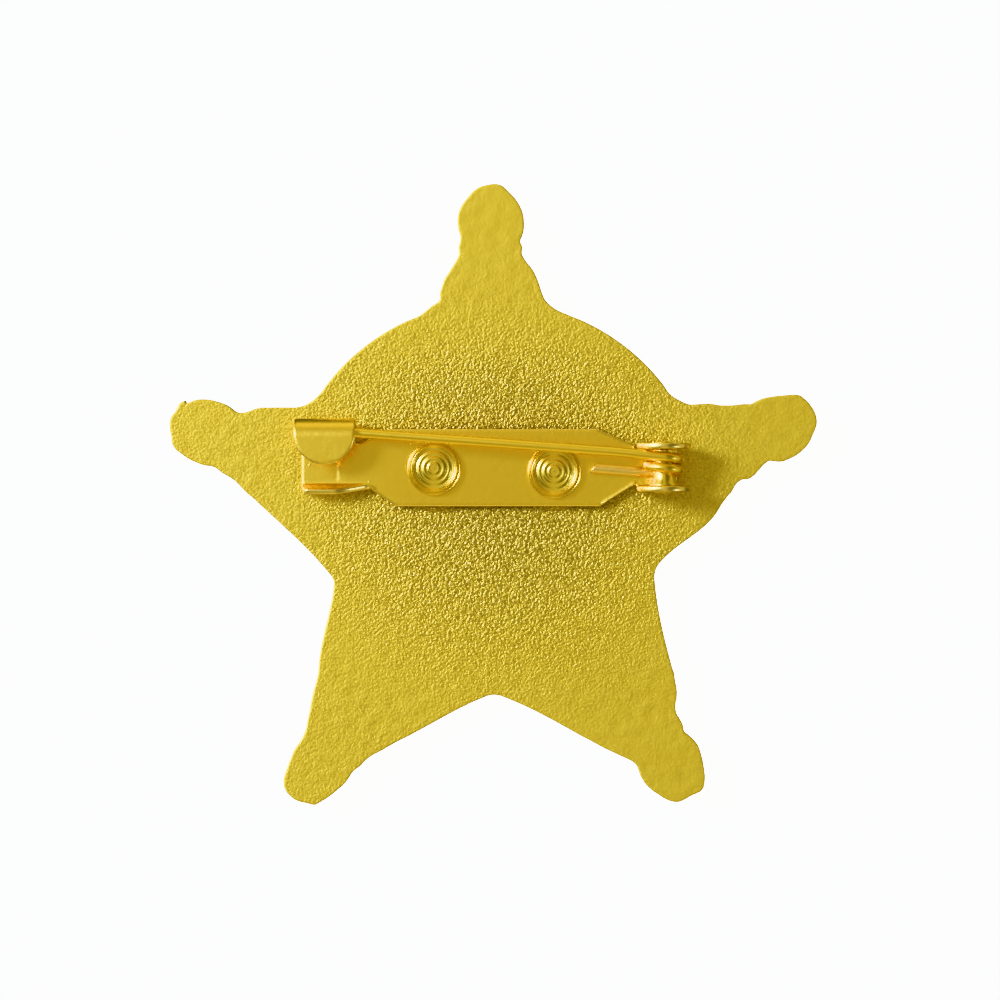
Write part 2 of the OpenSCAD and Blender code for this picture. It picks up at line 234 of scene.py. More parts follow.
def finish_material(tree, relief, **sockets):
    """The metal's shader, from the sockets given, and the output. The relief shows in the metal and in its clear
    lacquer alike."""
    shader = add(tree, "ShaderNodeBsdfPrincipled", Metallic=1.0, Normal=relief, Coat_Normal=relief, **sockets)
    add(tree, "ShaderNodeOutputMaterial", Surface=(shader, "BSDF"))


def tone(tree, where, scale, dark, light, detail=3.0):
    """A colour that drifts between two hex colours over cloudy patches of 1 / scale mm."""
    cloud = add(tree, "ShaderNodeTexNoise", Vector=where, Scale=scale, Detail=detail)
    mix = add(tree, "ShaderNodeMix", {"data_type": "RGBA"}, in_0=(cloud, "Fac"),
              in_6=linear(dark), in_7=linear(light))
    return (mix, 2)


def spread(tree, value, low, high, bottom=0.0, top=1.0):
    """Smooth step of a value from bottom at low to top at high."""
    step = add(tree, "ShaderNodeMapRange", {"interpolation_type": "SMOOTHSTEP"}, Value=value,
               From_Min=low, From_Max=high, To_Min=bottom, To_Max=top)
    return (step, "Result")


def blend_colour(tree, share, under, code):
    """A colour that turns into the hex colour as share goes from 0 to 1."""
    mix = add(tree, "ShaderNodeMix", {"data_type": "RGBA"}, in_0=share, in_6=under, in_7=linear(code))
    return (mix, 2)


def reckon(tree, operation, one, other):
    """One sum, difference or product of two numbers."""
    return (add(tree, "ShaderNodeMath", {"operation": operation}, in_0=one, in_1=other), 0)


def gold_casting():
    """Gold-plated cast zinc: the mould's rough grain shows on the back, strongest round the middle, and dies out
    towards the tips, which were buffed on the wheel. To the eye: short glittering ridges a quarter of a
    millimetre apart. Light and shade are painted into the colour: the ridge tops paler as painted highlight, the
    hollows brown and the grainy skin darker overall as painted shade, and a painted shade beside the plate."""
    material, tree, mm = start_material("cast_zinc_gold_plated")
    rough = (add(tree, "ShaderNodeAttribute", {"attribute_name": "grain"}), "Fac")
    nook = (add(tree, "ShaderNodeAttribute", {"attribute_name": "nook"}), "Fac")
    ridges = add(tree, "ShaderNodeTexNoise", Vector=mm, Scale=GRAIN_SCALE, Detail=1.0, Roughness=0.5,
                 Distortion=0.4)
    rounded = spread(tree, (ridges, "Fac"), 0.28, 0.72)
    coarse = add(tree, "ShaderNodeBump", Strength=1.0, Distance=GRAIN_DEPTH,
                 Height=reckon(tree, "MULTIPLY", rounded, rough))
    fine = add(tree, "ShaderNodeTexNoise", Vector=mm, Scale=2.2, Detail=4.0, Roughness=0.6)
    bump = add(tree, "ShaderNodeBump", Strength=1.0, Distance=FINE_DEPTH, Height=(fine, "Fac"),
               Normal=(coarse, "Normal"))
    # Darker where the grain is rough: painted shade for the self-shadowing of the rough skin.
    grain_shade = reckon(tree, "MULTIPLY", rough, rough)
    metal = blend_colour(tree, grain_shade, tone(tree, mm, 0.35, "#EFCC4F", "#F5D457"), "#B4943C")
    # Next to the plate the level drops, which paints the hollows darker there: painted shade beside the plate.
    level = reckon(tree, "SUBTRACT", (ridges, "Fac"), reckon(tree, "MULTIPLY", nook, 0.2))
    # Hollows of the grain painted brown: painted shade.
    pit_shade = reckon(tree, "MULTIPLY", spread(tree, level, 0.47, 0.34, 0.0, 0.7), rough)
    # Ridge tops of the grain painted pale: painted highlight.
    crest_highlight = reckon(tree, "MULTIPLY", spread(tree, level, 0.55, 0.7, 0.0, 0.2), rough)
    gold = blend_colour(tree, crest_highlight, blend_colour(tree, pit_shade, metal, "#6E3E06"), "#FFF6C8")
    finish_material(tree, (bump, "Normal"), Base_Color=gold, Roughness=0.46, Coat_Weight=1.0, Coat_Roughness=0.25)
    return material


def gold_sheet():
    """Gold-plated steel sheet, pressed and folded: a smooth satin with faint clouds of the plating bath and a few
    plating nodules, which show as bright pinpoints. Its sheared edges are painted paler, a painted highlight along
    them."""
    material, tree, mm = start_material("pressed_steel_sheet_gold_plated")
    cloud = add(tree, "ShaderNodeTexNoise", Vector=mm, Scale=1.6, Detail=4.0, Roughness=0.6)
    clouds = add(tree, "ShaderNodeBump", Strength=1.0, Distance=0.00002, Height=(cloud, "Fac"))
    nodules = add(tree, "ShaderNodeTexVoronoi", Vector=mm, Scale=0.55)
    bump = add(tree, "ShaderNodeBump", Strength=1.0, Distance=0.00004, Normal=(clouds, "Normal"),
               Height=spread(tree, (nodules, "Distance"), 0.05, 0.02))
    cut = (add(tree, "ShaderNodeAttribute", {"attribute_name": "cut"}), "Fac")
    satin = tone(tree, mm, 0.5, "#FFD45A", "#FFDA62")
    # The sheared edges are painted paler: a painted highlight.
    gold = blend_colour(tree, reckon(tree, "MULTIPLY", cut, EDGE_HIGHLIGHT_SHARE), satin, "#FFECA8")
    finish_material(tree, (bump, "Normal"), Base_Color=gold, Roughness=0.31, Coat_Weight=0.7, Coat_Roughness=0.12)
    return material


def gold_rivet():
    """Gold-plated brass rivet, headed by a spinning punch: fine rings round its centre on a bright metal."""
    material, tree, mm = start_material("spun_brass_gold_plated")
    far = add(tree, "ShaderNodeAttribute", {"attribute_name": "ring"})
    rings = add(tree, "ShaderNodeTexNoise", {"noise_dimensions": "1D"}, W=(far, "Fac"), Scale=6.5, Detail=2.0)
    bump = add(tree, "ShaderNodeBump", Strength=1.0, Distance=0.000016, Height=(rings, "Fac"))
    finish_material(tree, (bump, "Normal"), Base_Color=tone(tree, mm, 0.8, "#FFD860", "#FFDE68"), Roughness=0.27,
                    Coat_Weight=1.0, Coat_Roughness=0.05)
    return material


def gold_wire(name, dark, light, roughness, speckle):
    """Gold-plated steel spring wire, drawn through a die: bright, with faint streaks along its length, its colour
    between two hex colours. speckle is the depth in metres of a fine pitting a tenth of a millimetre across, which
    breaks the shine up into dots."""
    material, tree, mm = start_material(name)
    along = add(tree, "ShaderNodeAttribute", {"attribute_name": "along"})
    around = add(tree, "ShaderNodeAttribute", {"attribute_name": "around"})
    where = add(tree, "ShaderNodeCombineXYZ", X=(along, "Fac"), Y=(around, "Fac"))
    streaks = add(tree, "ShaderNodeTexNoise", Vector=(where, 0), Scale=1.0, Detail=3.0, Roughness=0.6)
    drawn = add(tree, "ShaderNodeBump", Strength=1.0, Distance=0.000008, Height=(streaks, "Fac"))
    pitting = add(tree, "ShaderNodeTexNoise", Vector=mm, Scale=9.0, Detail=1.0)
    bump = add(tree, "ShaderNodeBump", Strength=1.0, Distance=speckle, Height=(pitting, "Fac"),
               Normal=(drawn, "Normal"))
    finish_material(tree, (bump, "Normal"), Base_Color=tone(tree, mm, 0.9, dark, light), Roughness=roughness,
                    Coat_Weight=0.7, Coat_Roughness=0.12)
    return material


# Cells of the grain to a millimetre, its depth and that of the fine skin on it in metres
GRAIN_SCALE = 4.9
GRAIN_DEPTH = 0.000047
FINE_DEPTH = 0.000013
# How much paler the sheared edges of the sheet are painted, as a painted highlight
EDGE_HIGHLIGHT_SHARE = 0.4

CAST_GOLD = gold_casting()
SHEET_GOLD = gold_sheet()
RIVET_GOLD = gold_rivet()
WIRE_GOLD = gold_wire("drawn_steel_wire_gold_plated", "#FAD056", "#FDD65C", 0.33, 0.000002)
# The tail's colours are painted lighter than the pin's, though it is the same wire: painted light. Its fine
# pitting is a bump.
TAIL_GOLD = gold_wire("drawn_steel_wire_pitted_painted_lighter", "#FCD270", "#FFDC86", 0.4, 0.00002)


# ---- Star ----

STAR_CENTRES = np.radians([90, 162, 234, 306, 18])
GRAIN_CENTRE = np.array([0.5, 3.2])
# A spur of metal left at the left tip, and how far it stands out beyond the smooth outline
SPUR = np.array([-24.86, 9.50])
SPUR_PUSH = np.array([0.16, 0.2])
# Height of the back's very slight dish, per square millimetre of distance from the middle
DISH = 0.00035
PLATE_RIM = [(-15.36, 2.66), (-9.9, 2.66), (-7.85, 1.26), (8.55, 1.26), (11.3, 2.99), (11.36, 2.41), (14.6, 2.41),
             (14.6, 6.27), (11.36, 6.27), (11.2, 6.13), (8.25, 7.42), (-8.5, 7.42), (-10.7, 6.25), (-15.36, 6.25)]
MEDALLION = np.array([0.08, 1.6])
BACK_ROUND = 0.08
FRONT_ROUND = 0.2
# Heights of the casting's skin, soft all over and short where the grain is
SOFT_WAVES = 0.003
SHORT_WAVES = 0.005
# Front: the domes on the tips, how deep the panels lie, and the half-round rings on the medallion as radius, half
# width and level
TIP_FAR, DOME_R, DOME_RISE = 24.3, 2.2, 0.8
PANEL_DEPTH = 0.3
MEDALLION_R = 13.0
MEDALLION_RISE = 0.55
BEADS = [(12.5, 0.5, 0.0), (8.1, 0.3, 0.12)]
BACK_GRID = 0.145
FRONT_GRID = 0.32


def outline_of(node, z):
    """Closed line in mm where a node's outer walls meet its flat face at height z. Each wall triangle has one
    edge there, which points to the next one. Following the pointers 1, 2, 4, 8 ... steps at once puts them
    all in order."""
    mesh = frame["nodes"][node].data
    mesh.calc_loop_triangles()
    place = np.empty(len(mesh.vertices) * 3, np.float32)
    mesh.vertices.foreach_get("co", place)
    turn = np.empty(len(mesh.loop_triangles) * 3, np.int32)
    mesh.loop_triangles.foreach_get("vertices", turn)
    corner = (place.reshape(-1, 3) / MM)[turn.reshape(-1, 3)]
    level = np.abs(corner[:, :, 2] - z) < 1e-3
    wall = (level.sum(1) == 2) & (corner[:, :, 2].min(1) < z - 0.1)
    corner, off = corner[wall], (~level[wall]).argmax(1)
    row = np.arange(len(corner))
    ends = np.round(np.stack([corner[row, (off + 1) % 3, :2], corner[row, (off + 2) % 3, :2]]), 3)
    spots, number = np.unique(ends.reshape(-1, 2), axis=0, return_inverse=True)
    start, end = number.reshape(2, -1)
    step = np.empty(len(spots), int)
    step[start] = end
    order = np.array([0])
    while len(order) < len(spots):
        order = np.concatenate([order, step[order]])
        step = step[step]
    loop = spots[order[:len(spots)]]
    area = (loop[:, 0] * np.roll(loop[:, 1], -1) - loop[:, 1] * np.roll(loop[:, 0], -1)).sum()
    return (loop if area > 0 else loop[::-1]) - FRAME_SHIFT[:2]


def grain_share(points):
    """How rough the back is: it dies out from the middle as exp(-(r / 16.7)^2.66) with the distance r, and sooner
    up the top arm. A little is left at the tips, more of it on the left and less at the top."""
    far = np.linalg.norm(points - GRAIN_CENTRE, axis=1)
    middle = 0.82 * np.exp(-(far / 16.7) ** 2.66) * (1 - 0.65 * ease(points[:, 1], 10.0, 20.0))
    left = 0.12 * ease(-points[:, 0], -4.0, 10.0) * ease(far, 8.0, 16.0)
    return np.maximum(middle, 0.1 + left - 0.1 * ease(points[:, 1], 8, 16))


def back_height(points, depth):
    """Back of the casting: level at BACK_Z with a round boss under each rivet, and on it the uneven skin of a
    casting: soft waves all over and short ones where the grain is, both flat at the outline."""
    z = np.full(len(points), BACK_Z)
    for centre in BOSSES:
        far = np.linalg.norm(points - centre, axis=1)
        z += (BOSS_Z - BACK_Z) * (1 - ease(far, BOSS_R - 0.14, BOSS_R + 0.06))
    soft = SOFT_WAVES * waves(points, 2.2, 1.0, 60, 3)
    short = SHORT_WAVES * grain_share(points) * waves(points, 0.75, 0.45, 90, 5)
    return z + ease(depth, 0.1, 0.6) * (soft + short)


def beside_plate(points):
    """Mask of the painted shade beside the plate: 1 next to the bar plate's rim, falling to 1/e within 0.3 mm of
    it.
    """
    rim = even_loop(np.array(PLATE_RIM), 0.15, 0.05)
    return np.exp(np.minimum(depth_inside(points, [rim]), 0) / 0.3)


def front_height(points, depth):
    """Front relief, lower where it stands prouder: panels 0.9 mm inside the outline, a spherical dome on each
    tip, and a round medallion with a half-round rim and a half-round inner ring."""
    z = FRONT_Z - PANEL_DEPTH * ease(depth, 0.8, 1.0)
    radius = (DOME_R ** 2 + DOME_RISE ** 2) / (2 * DOME_RISE)
    for a in STAR_CENTRES:
        middle = TIP_FAR * np.array([np.cos(a), np.sin(a)]) - 0.2 * np.array([np.sin(a), -np.cos(a)])
        far = np.linalg.norm(points - middle, axis=1)
        dome = FRONT_Z - DOME_RISE + radius - np.sqrt(np.maximum(radius ** 2 - far ** 2, 0))
        z = np.where(far < DOME_R, np.minimum(z, dome), z)
    far = np.linalg.norm(points - MEDALLION, axis=1)
    level = FRONT_Z - MEDALLION_RISE
    z = np.minimum(z, FRONT_Z - MEDALLION_RISE * (1 - ease(far, MEDALLION_R - 0.1, MEDALLION_R)))
    for middle, half, top in BEADS:
        bead = level - (level - top) * np.sqrt(np.maximum(1 - ((far - middle) / half) ** 2, 0))
        z = np.where(np.abs(far - middle) < half, np.minimum(z, bead), z)
    return z


def star_body():
    """The casting: one outline carried down a wall with rounded edges, closed by a net over the back and a net
    over the front whose heights are functions of x and y."""
    outline = even_loop(outline_of("badge_body", BACK_Z), 0.15, 0.06, curved=True)
    outline += SPUR_PUSH * np.exp(-((outline - SPUR) ** 2).sum(1, keepdims=True) / 0.13 ** 2)
    normal = inward(outline)
    count = len(outline)
    low, high = outline.min(0), outline.max(0)

    back_loop = outline + BACK_ROUND * normal
    grid = staggered_grid(low, high, BACK_GRID)
    grid = grid[depth_inside(grid, [back_loop]) > 0.6 * BACK_GRID]
    back, back_faces = net([back_loop], grid)

    front_loop = outline + FRONT_ROUND * normal
    rings = np.vstack([on_circle(MEDALLION, r, np.arange(0, 360, 360 / round(2 * np.pi * r / 0.22)))
                       for r in (7.8, 7.86, 8.0, 8.2, 8.34, 8.4, 12.0, 12.05, 12.2, 12.5, 12.8, 12.95, 13.0)])
    panels = np.vstack([outline[::2] + inset * normal[::2] for inset in (0.78, 1.02)])
    grid = staggered_grid(low, high, FRONT_GRID)
    grid_far = np.linalg.norm(grid - MEDALLION, axis=1)
    for middle, half, _ in BEADS:
        grid, grid_far = (a[np.abs(grid_far - middle) > half + 0.06] for a in (grid, grid_far))
    grid_depth = depth_inside(grid, [outline])
    grid = grid[(grid_depth > FRONT_ROUND + 0.15) & (np.abs(grid_depth - 0.9) > 0.2)]
    panels = panels[(depth_inside(panels, [outline]) > 0.7)
                    & (np.linalg.norm(panels - MEDALLION, axis=1) > MEDALLION_R + 0.1)]
    rings = rings[depth_inside(rings, [outline]) > FRONT_ROUND + 0.12]
    front, front_faces = net([front_loop], np.vstack([rings, panels, grid]))
    front_depth = np.concatenate([np.full(count, FRONT_ROUND), depth_inside(front[count:], [outline])])

    # Wall, from the back's edge to the front's: how far in, and how high
    bend = np.radians([22.5, 45, 67.5, 90])
    wall = [(BACK_ROUND * (1 - math.sin(a)), BACK_Z - BACK_ROUND * (1 - math.cos(a))) for a in bend]
    wall += [(0.0, z) for z in (2.2, 1.85, 1.5)]
    wall += [(FRONT_ROUND * (1 - math.cos(a)), FRONT_Z + FRONT_ROUND * (1 - math.sin(a)))
             for a in np.radians([0, 30, 60])]
    sides = [np.column_stack([outline + inset * normal, np.full(count, z)]) for inset, z in wall]

    back_depth = np.concatenate([np.zeros(count), depth_inside(back[count:], [outline])])
    points = np.vstack([np.column_stack([back, back_height(back, back_depth)])] + sides
                       + [np.column_stack([front, front_height(front, front_depth)])])
    share = np.clip((points[:, 2] - FRONT_Z) / (BACK_Z - FRONT_Z), 0, 1)
    points[:, 2] += DISH * share * (points[:, :2] ** 2).sum(1)
    # The second value marks where the back is painted darker beside the plate, a painted shade.
    values = {"grain": grain_share(points[:, :2]), "nook": beside_plate(points[:, :2])}
    values["grain"][len(back):] *= 0.4
    values["nook"][len(back):] = 0
    side_at = len(back) + count * np.arange(len(wall))[:, None] + np.arange(count)
    front_at = len(back) + count * len(wall)
    quads = joined_rings(np.vstack([np.arange(count)[None], side_at, front_at + np.arange(count)[None]]))
    triangles = np.vstack([back_faces, front_faces[:, ::-1] + front_at])
    return put_piece("star_casting", points, quads, triangles, "root", CAST_GOLD, "badge_body",
                     values)


# ---- Bar plate ----

BEND_R = 0.39
BEND_ARC = BEND_R * math.pi / 2
CURL_R = 1.27
CURL_START = 6.78
EAR_FOLD = {"up": 5.65, "down": 3.03}
EAR_LEFT = 11.36
EAR_SPLIT = 11.22
EAR_R = 2.14
FLANGE_FOLD = 3.14
FLANGE_TURN = 72.0
FLANGE_ARC = BEND_R * math.radians(FLANGE_TURN)
SHEET_GRID = 0.15
# The neck dips towards its end by this slope, and steps down at a crease
SHEET_SLOPE = 0.06
CREASE_X = -12.4
CREASE_DROP = 0.06
# The slanted cut at the lower right, and the height and width of its burr
BURR_ENDS = np.array([(8.66, 1.40), (11.2, 2.99)])
BURR_WAY = (BURR_ENDS[1] - BURR_ENDS[0]) / np.linalg.norm(BURR_ENDS[1] - BURR_ENDS[0])
BURR = 0.13
BURR_WIDTH = 0.12


def folded(distance, height, angle, arc):
    """A sheet that bends through angle over the length arc and then runs straight: how far along and how high a
    point lies that is distance past the bend's start and height above the sheet's middle. The bent part is a
    circle's arc, along = d sin(a) / a and up = d (1 - cos a) / a, where a is the angle reached."""
    d = np.minimum(distance, arc)
    a = angle * d / arc
    rest = distance - d
    along = d * np.sinc(a / np.pi) + rest * np.cos(a) - height * np.sin(a)
    up = d * a / 2 * np.sinc(a / (2 * np.pi)) ** 2 + rest * np.sin(a) + height * np.cos(a)
    return along, up


def fold_plate(x, s, w):
    """Folds the flat blank: x stays, s is the distance across the blank and w the height above the sheet's
    middle. The catch curls through half a turn, the ears stand up, and the guard flange turns up and fades out
    to the right. The neck dips to the left and has a crease across it, and the lower slanted cut has a burr, a
    Gaussian ridge along its upper edge."""
    y, z = s.copy(), w.copy()
    fade = FLANGE_TURN * (1 - ease(x, -10.5, -9.3))
    bends = [
        ((x < -10.9) & (s > CURL_START), CURL_START, 1, np.full(len(x), math.pi), CURL_R * math.pi),
        ((x > EAR_SPLIT) & (s > EAR_FOLD["up"]), EAR_FOLD["up"], 1, np.full(len(x), math.pi / 2), BEND_ARC),
        ((x > EAR_SPLIT) & (s < EAR_FOLD["down"]), EAR_FOLD["down"], -1, np.full(len(x), math.pi / 2), BEND_ARC),
        ((x < -9.0) & (s < FLANGE_FOLD), FLANGE_FOLD, -1, np.radians(fade), FLANGE_ARC),
    ]
    for chosen, start, way, angle, arc in bends:
        along, up = folded(way * (s[chosen] - start), w[chosen], angle[chosen], arc)
        y[chosen], z[chosen] = start + way * along, up
    reach = np.maximum(-6.5 - x, 0)
    sag = SHEET_SLOPE * np.where(reach < 6, reach ** 2 / 12, reach - 3)
    left = CREASE_X - x
    across = ease(y, 3.2, 3.5) * (1 - ease(y, 4.7, 5.0))
    crease = CREASE_DROP * ease(left, 0, 0.14) * np.exp(-np.maximum(left, 0) / 0.4) * across
    from_cut = np.abs((x - BURR_ENDS[0, 0]) * BURR_WAY[1] - (y - BURR_ENDS[0, 1]) * BURR_WAY[0])
    on_cut = (w > 0.1) & (x > BURR_ENDS[0, 0]) & (x < BURR_ENDS[1, 0])
    burr = BURR * np.exp(-(from_cut / BURR_WIDTH) ** 2) * on_cut
    return np.column_stack([x, y, SHEET_MID + z - sag - crease + burr])


def blank_outline():
    """Outline of the flat blank, anticlockwise from the left end of the guard flange."""
    flange_x = np.linspace(-15.3, -10.2, 24)
    u = (flange_x + 15.36) / 5.3
    flange = np.column_stack([flange_x, 2.80 - 1.36 * ease(u, -0.05, 0.07) * (1 - ease(u, 0.45, 1.05)) ** 0.7])
    ear_reach = BEND_ARC + HINGE[2] - SHEET_Z - SHEET_T / 2 - BEND_R
    up_centre = (HINGE[0], EAR_FOLD["up"] + ear_reach)
    down_centre = (HINGE[0], EAR_FOLD["down"] - ear_reach)
    tab_centre = (-13.465, CURL_START + CURL_R * math.pi - 0.2)
    return np.vstack([
        flange, [(-9.9, 2.66), (-7.85, 1.26), (8.5, 1.26), (8.66, 1.40), (11.2, 2.99), (11.28, 2.98),
                 (EAR_LEFT, 2.6)],
        on_circle(down_centre, EAR_R, np.linspace(180, 419, 60)),
        [(14.6, 3.1), (14.6, 5.6)],
        on_circle(up_centre, EAR_R, np.linspace(-59, 180, 60)),
        [(EAR_LEFT, 6.1), (11.29, 5.70), (11.19, 5.70), (11.17, 6.13), (8.25, 7.42), (-8.5, 7.42),
         (-10.7, 6.25), (-11.045, 6.25)],
        on_circle(tab_centre, 2.42, np.linspace(0, 180, 50)),
        [(-15.885, 6.25), (-15.36, 6.05), (-15.36, 2.9)],
    ])


def bar_plate():
    """The pressed sheet: a flat slab with rounded edges over the blank's outline, folded up."""
    ear_reach = BEND_ARC + HINGE[2] - SHEET_Z - SHEET_T / 2 - BEND_R
    holes = [on_circle(c, 1.22, np.arange(360, 0, -6)) for c in RIVETS.values()]
    holes += [on_circle((HINGE[0], EAR_FOLD["up"] + ear_reach), 0.58, np.arange(360, 0, -12)),
              on_circle((HINGE[0], EAR_FOLD["down"] - ear_reach), 0.58, np.arange(360, 0, -12))]
    loops = [even_loop(blank_outline(), 0.14, 0.07)] + holes
    edge = [(0.12, 0.23), (0.035, 0.195), (0.0, 0.11), (0.0, -0.14), (0.03, -0.2), (0.1, -0.23)]
    inner = [loop + edge[0][0] * inward(loop) for loop in loops]
    low, high = loops[0].min(0), loops[0].max(0)
    grid = staggered_grid(low, high, SHEET_GRID)
    grid = grid[depth_inside(grid, inner) > 0.6 * SHEET_GRID]
    flat, faces = net(inner, grid)
    top = np.column_stack([flat, np.full(len(flat), edge[0][1])])
    under = top * [1, 1, -1]
    layers, quads, at = [top, under], [], 2 * len(flat)
    first = 0
    for loop in loops:
        n = len(loop)
        normal = inward(loop)
        layers += [np.column_stack([loop + inset * normal, np.full(n, w)]) for inset, w in edge[1:-1]]
        middle = at + n * np.arange(len(edge) - 2)[:, None] + np.arange(n)
        rings = np.vstack([first + np.arange(n)[None], middle, len(flat) + first + np.arange(n)[None]])
        quads.append(joined_rings(rings))
        at += n * (len(edge) - 2)
        first += n
    blank = np.vstack(layers)
    points = fold_plate(*blank.T)
    triangles = np.vstack([faces, faces[:, ::-1] + len(flat)])
    values = {"cut": (np.arange(len(blank)) >= 2 * len(flat)).astype(float)}
    return put_piece("bar_sheet", points, np.vstack(quads), triangles, "root", SHEET_GOLD,
                     "bar_plate", values)


# ---- Rivets ----

def turned(profile, sides, offset=0.0):
    """A solid of revolution round the third axis: each profile row is distance from the axis and height, from
    the bottom pole to the top pole. offset moves the rings sideways, most at the middle of the head."""
    profile = np.array(profile)
    ring = profile[1:-1]
    a = np.linspace(0, 2 * np.pi, sides, endpoint=False)
    shift = offset * (1 - ring[:, :1] / ring[:, 0].max())
    x = ring[:, :1] * np.cos(a) - shift
    y = ring[:, :1] * np.sin(a) + shift / 2
    z = np.broadcast_to(ring[:, 1:], x.shape)
    points = np.vstack([np.stack([x, y, z], -1).reshape(-1, 3), [(0, 0, profile[0, 1]), (0, 0, profile[-1, 1])]])
    number = np.arange(len(ring) * sides).reshape(len(ring), sides)
    quads = joined_rings(number[::-1])
    bottom, top = len(points) - 2, len(points) - 1
    fans = [np.stack([np.full(sides, bottom), np.roll(number[0], -1), number[0]], 1),
            np.stack([np.full(sides, top), number[-1], np.roll(number[-1], -1)], 1)]
    far = np.concatenate([np.repeat(ring[:, 0], sides), [0, 0]])
    return points, quads, np.vstack(fans), far


def rivet_profile():
    """Section of a rivet from the shank's foot over the head to its centre: a thin outer bead, a groove, a thin
    raised ring, a level trough, and a low mound with three soft steps, which are a cosine 0.43 mm long."""
    base = SHEET_TOP + 0.02
    foot = [(0, 1.6), (1.1, 1.6), (1.18, 1.65), (1.2, 1.75), (1.2, base), (1.9, base), (2.08, base + 0.01),
            (2.14, base + 0.06)]
    bead = np.array([(2.16, 0.2), (2.155, 0.33), (2.12, 0.42), (2.06, 0.465), (2.01, 0.45), (1.97, 0.39),
                     (1.93, 0.33), (1.90, 0.37), (1.86, 0.49), (1.83, 0.57), (1.79, 0.60), (1.75, 0.59),
                     (1.72, 0.55), (1.69, 0.47), (1.66, 0.41), (1.62, 0.385), (1.55, 0.375), (1.48, 0.375)])
    r = np.linspace(1.44, 0.03, 50)
    steps = 0.023 * ease(r, 0.15, 0.45) * np.cos(2 * np.pi * (r - 0.81) / 0.43)
    mound = base + 0.37 + 0.13 * (1 - (r / 1.46) ** 2) + steps
    return foot + list(zip(bead[:, 0], base + bead[:, 1])) + list(zip(r, mound)) + [(0, mound[-1])]


def rivet(name, centre):
    points, quads, triangles, far = turned(rivet_profile(), 96, 0.05)
    points = points + [*centre, 0]
    return put_piece(name + "_spun", points, quads, triangles, "root", RIVET_GOLD, name,
                     {"ring": far})


def hinge_rivet():
    """The hinge's rivet, turned round the Y axis: a spool between the ears, wider towards the lower one, and a
    peened dome outside each ear."""
    half, outer = 1.45, 1.95
    peen = [(0, outer + 0.13), (0.35, outer + 0.12), (0.6, outer + 0.085), (0.75, outer + 0.04), (0.8, outer),
            (0.56, outer - 0.01)]
    y = np.linspace(-half, half, 30)
    spool = 0.86 + 0.26 * np.exp(-((y + half) / 0.42) ** 1.5) + 0.02 * (y / half) ** 2
    low = [(r, -h) for r, h in peen]
    high = [(r, h) for r, h in peen[::-1]]
    profile = low + [(0.56, -half)] + list(zip(spool, y)) + [(0.56, half)] + high
    points, quads, triangles, far = turned(profile, 64)
    points = np.column_stack([points[:, 0], points[:, 2], -points[:, 1]]) + HINGE
    return put_piece("hinge_rivet_spool", points, quads, triangles, "root", RIVET_GOLD,
                     "hinge_rivet", {"ring": far})


# ---- Wire ----

WIRE_R = 0.388
COIL_R = 1.31
COIL_TOP_Y = 5.17
COIL_PITCH = 0.875
SPRING_CUT = 455.0
COIL_END = 540.0
ARM_SLOPE = math.radians(3.7)
KINK = np.array([10.9, 5.5])
CATCH = np.array([-13.5, 7.28])
POINT_X = -15.45
POINT_LEN = 4.6


def on_coil(degrees):
    """The coil's centre line: a helix round the hinge, its angle counted from the top."""
    a = np.radians(degrees)
    return np.stack([HINGE[0] + COIL_R * np.sin(a), COIL_TOP_Y - COIL_PITCH * degrees / 360,
                     HINGE[2] + COIL_R * np.cos(a)], -1)


def on_arm(x):
    """The straight arm's centre line, which touches the coil's top."""
    y = KINK[1] + (x - KINK[0]) / (CATCH[0] - KINK[0]) * (CATCH[1] - KINK[1])
    z = HINGE[2] + COIL_R / math.cos(ARM_SLOPE) - (HINGE[0] - x) * math.tan(ARM_SLOPE)
    return np.stack([x, y, z], -1)


def swept_wire(path, radius, sides, slant=0.0):
    """Round wire: at each point of the path a circle in the plane across it, closed by a pole at either end.
    slant pushes the last ring's points along the wire by slant times their Y offset, as an oblique shear cut."""
    t = unit(np.gradient(path, axis=0))
    u = unit(np.cross([0, 1, 0], t))
    v = np.cross(t, u)
    a = np.linspace(0, 2 * np.pi, sides, endpoint=False)[None, :, None]
    reach = np.broadcast_to(radius, len(path))[:, None, None]
    around = reach * (np.cos(a) * u[:, None] + np.sin(a) * v[:, None])
    along = np.concatenate([[0], np.cumsum(np.linalg.norm(np.diff(path, axis=0), axis=1))])
    near_end = ease(along, along[-1] - 0.9, along[-1])[:, None, None]
    rings = path[:, None] + around + slant * near_end * around[:, :, 1:2] * t[:, None]
    points = np.vstack([rings.reshape(-1, 3), path[:1], path[-1:]])
    number = np.arange(len(path) * sides).reshape(len(path), sides)
    quads = joined_rings(number[::-1])
    start, end = len(points) - 2, len(points) - 1
    fans = [np.stack([np.full(sides, start), np.roll(number[0], -1), number[0]], 1),
            np.stack([np.full(sides, end), number[-1], np.roll(number[-1], -1)], 1)]
    turn = np.tile(np.abs(np.linspace(-1, 1, sides, endpoint=False)), len(path)) * 9
    values = {"along": np.concatenate([np.repeat(along, sides), [0, along[-1]]]),
              "around": np.concatenate([turn, [0, 0]])}
    return points, quads, np.vstack(fans), values


def bridge(start, start_way, end, end_way, count):
    """Cubic from start to end whose ends point along the two directions given."""
    size = np.linalg.norm(end - start)
    t = np.linspace(0, 1, count)[:, None]
    return ((1 + 2 * t) * (1 - t) ** 2 * start + t * t * (3 - 2 * t) * end
            + size * (t * (1 - t) ** 2 * unit(start_way) - t * t * (1 - t) * unit(end_way)))


